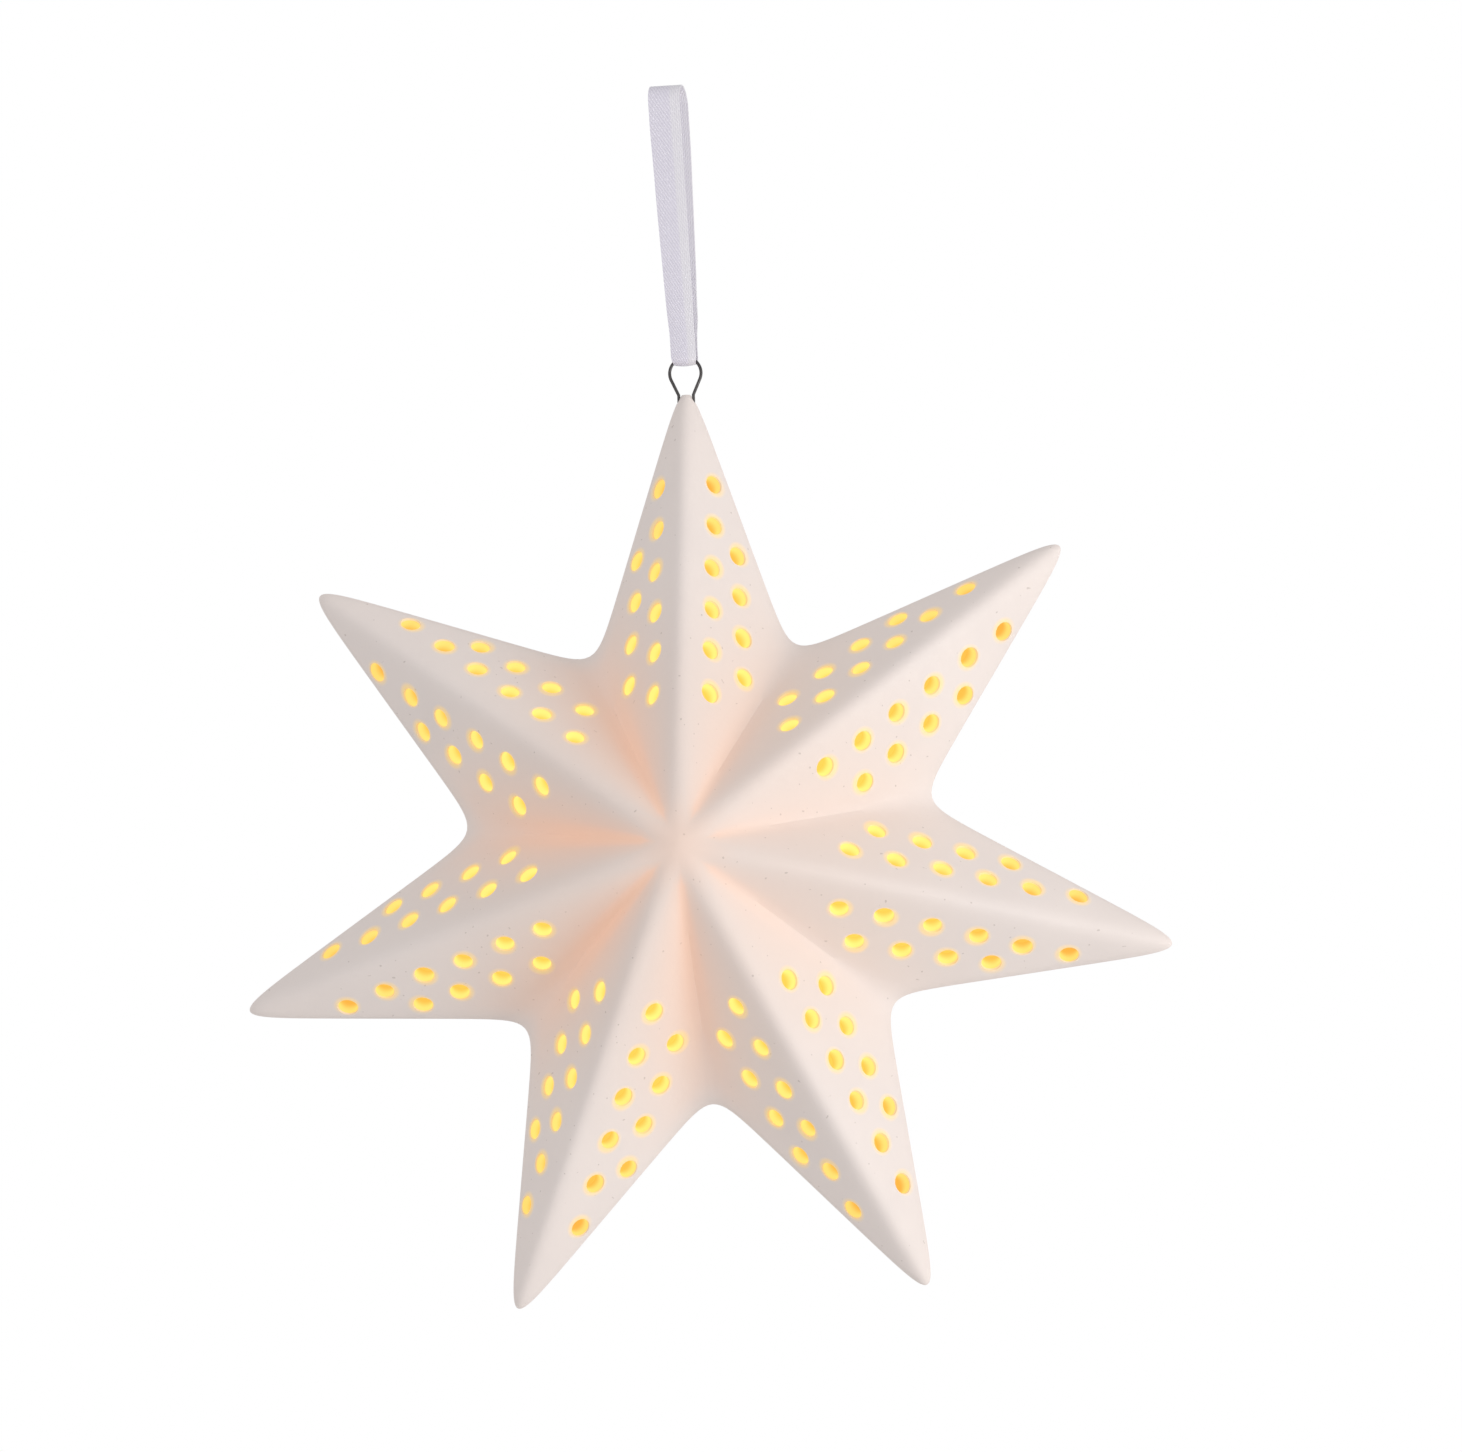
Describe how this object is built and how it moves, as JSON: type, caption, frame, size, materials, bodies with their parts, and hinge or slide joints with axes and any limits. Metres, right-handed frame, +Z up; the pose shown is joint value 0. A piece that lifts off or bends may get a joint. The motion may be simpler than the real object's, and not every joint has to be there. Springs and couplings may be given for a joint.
{
  "type": "hanging star tealight lantern",
  "caption": "Hollow seven-pointed porcelain star, pierced in front, lit by a small battery light that plugs into its back, hung by a wire eye on a satin ribbon loop.",
  "frame": {"origin": "where a hook bears on the inside of the ribbon loop's top fold, in the star's middle plane", "axes": "+Z up along the ribbon, +Y out of the star's back where the light plugs in, the star faces -Y, +X to the right seen from the front"},
  "size_m": [0.1764, 0.056, 0.2313],
  "materials": {
    "ribbon_satin": "satin weave",
    "sewing_thread": "spun thread",
    "bisque_porcelain": "unglazed matt bisque",
    "dark_wire": "oxidised, satin",
    "clear_silicone": "translucent, matt",
    "ivory_plastic": "moulded, fine texture",
    "flame_plastic": "frosted, translucent",
    "led_resin": "clear epoxy",
    "tinned_metal": "bright tinned",
    "board_green": "solder mask",
    "chip_black": "moulded epoxy",
    "resistor_tan": "lacquered",
    "white_plastic": "moulded",
    "cell_steel": "nickel plated",
    "spring_brass": "phosphor bronze, bare",
    "screw_steel": "zinc plated",
    "switch_grey": "moulded",
    "switch_black": "moulded, ribbed"
  },
  "bodies": {
    "hanger": {"ribbon_loop": "ribbon_satin", "ribbon_stitches": "sewing_thread"},
    "star": {"star_shell": "bisque_porcelain", "hanger_wire": "dark_wire", "grip_ring": "clear_silicone"},
    "light": {"light_cup": "ivory_plastic", "flame_lens": "flame_plastic", "led": "led_resin", "led_leads": "tinned_metal", "circuit_board": "board_green", "control_chip": "chip_black", "resistor": "resistor_tan", "battery_tray": "white_plastic", "coin_cell": "cell_steel", "contact_positive": "spring_brass", "contact_negative": "spring_brass", "base_plate": "ivory_plastic", "base_screws": "screw_steel", "switch_body": "switch_grey", "switch_terminals": "tinned_metal"},
    "switch_slider": {"switch_knob": "switch_black", "switch_wiper": "spring_brass"},
    "battery_cover": {"battery_cover": "ivory_plastic"}
  },
  "joints": [
    {"name": "star_swing", "type": "hinge", "parent": "hanger", "child": "star", "pos_m": [0, 0, -0.0522], "axis": [1, 0, 0], "range_deg": [-60, 60]},
    {"name": "light_pull", "type": "slide", "parent": "star", "child": "light", "axis": [0, 1, 0], "range_m": [0, 0.042]},
    {"name": "switch_slide", "type": "slide", "parent": "light", "child": "switch_slider", "axis": [1, 0, 0], "range_m": [-0.0025, 0]},
    {"name": "battery_cover_turn", "type": "hinge", "parent": "light", "child": "battery_cover", "pos_m": [0, 0.02, -0.1535], "axis": [0, 1, 0], "range_deg": [0, 40]}
  ]
}
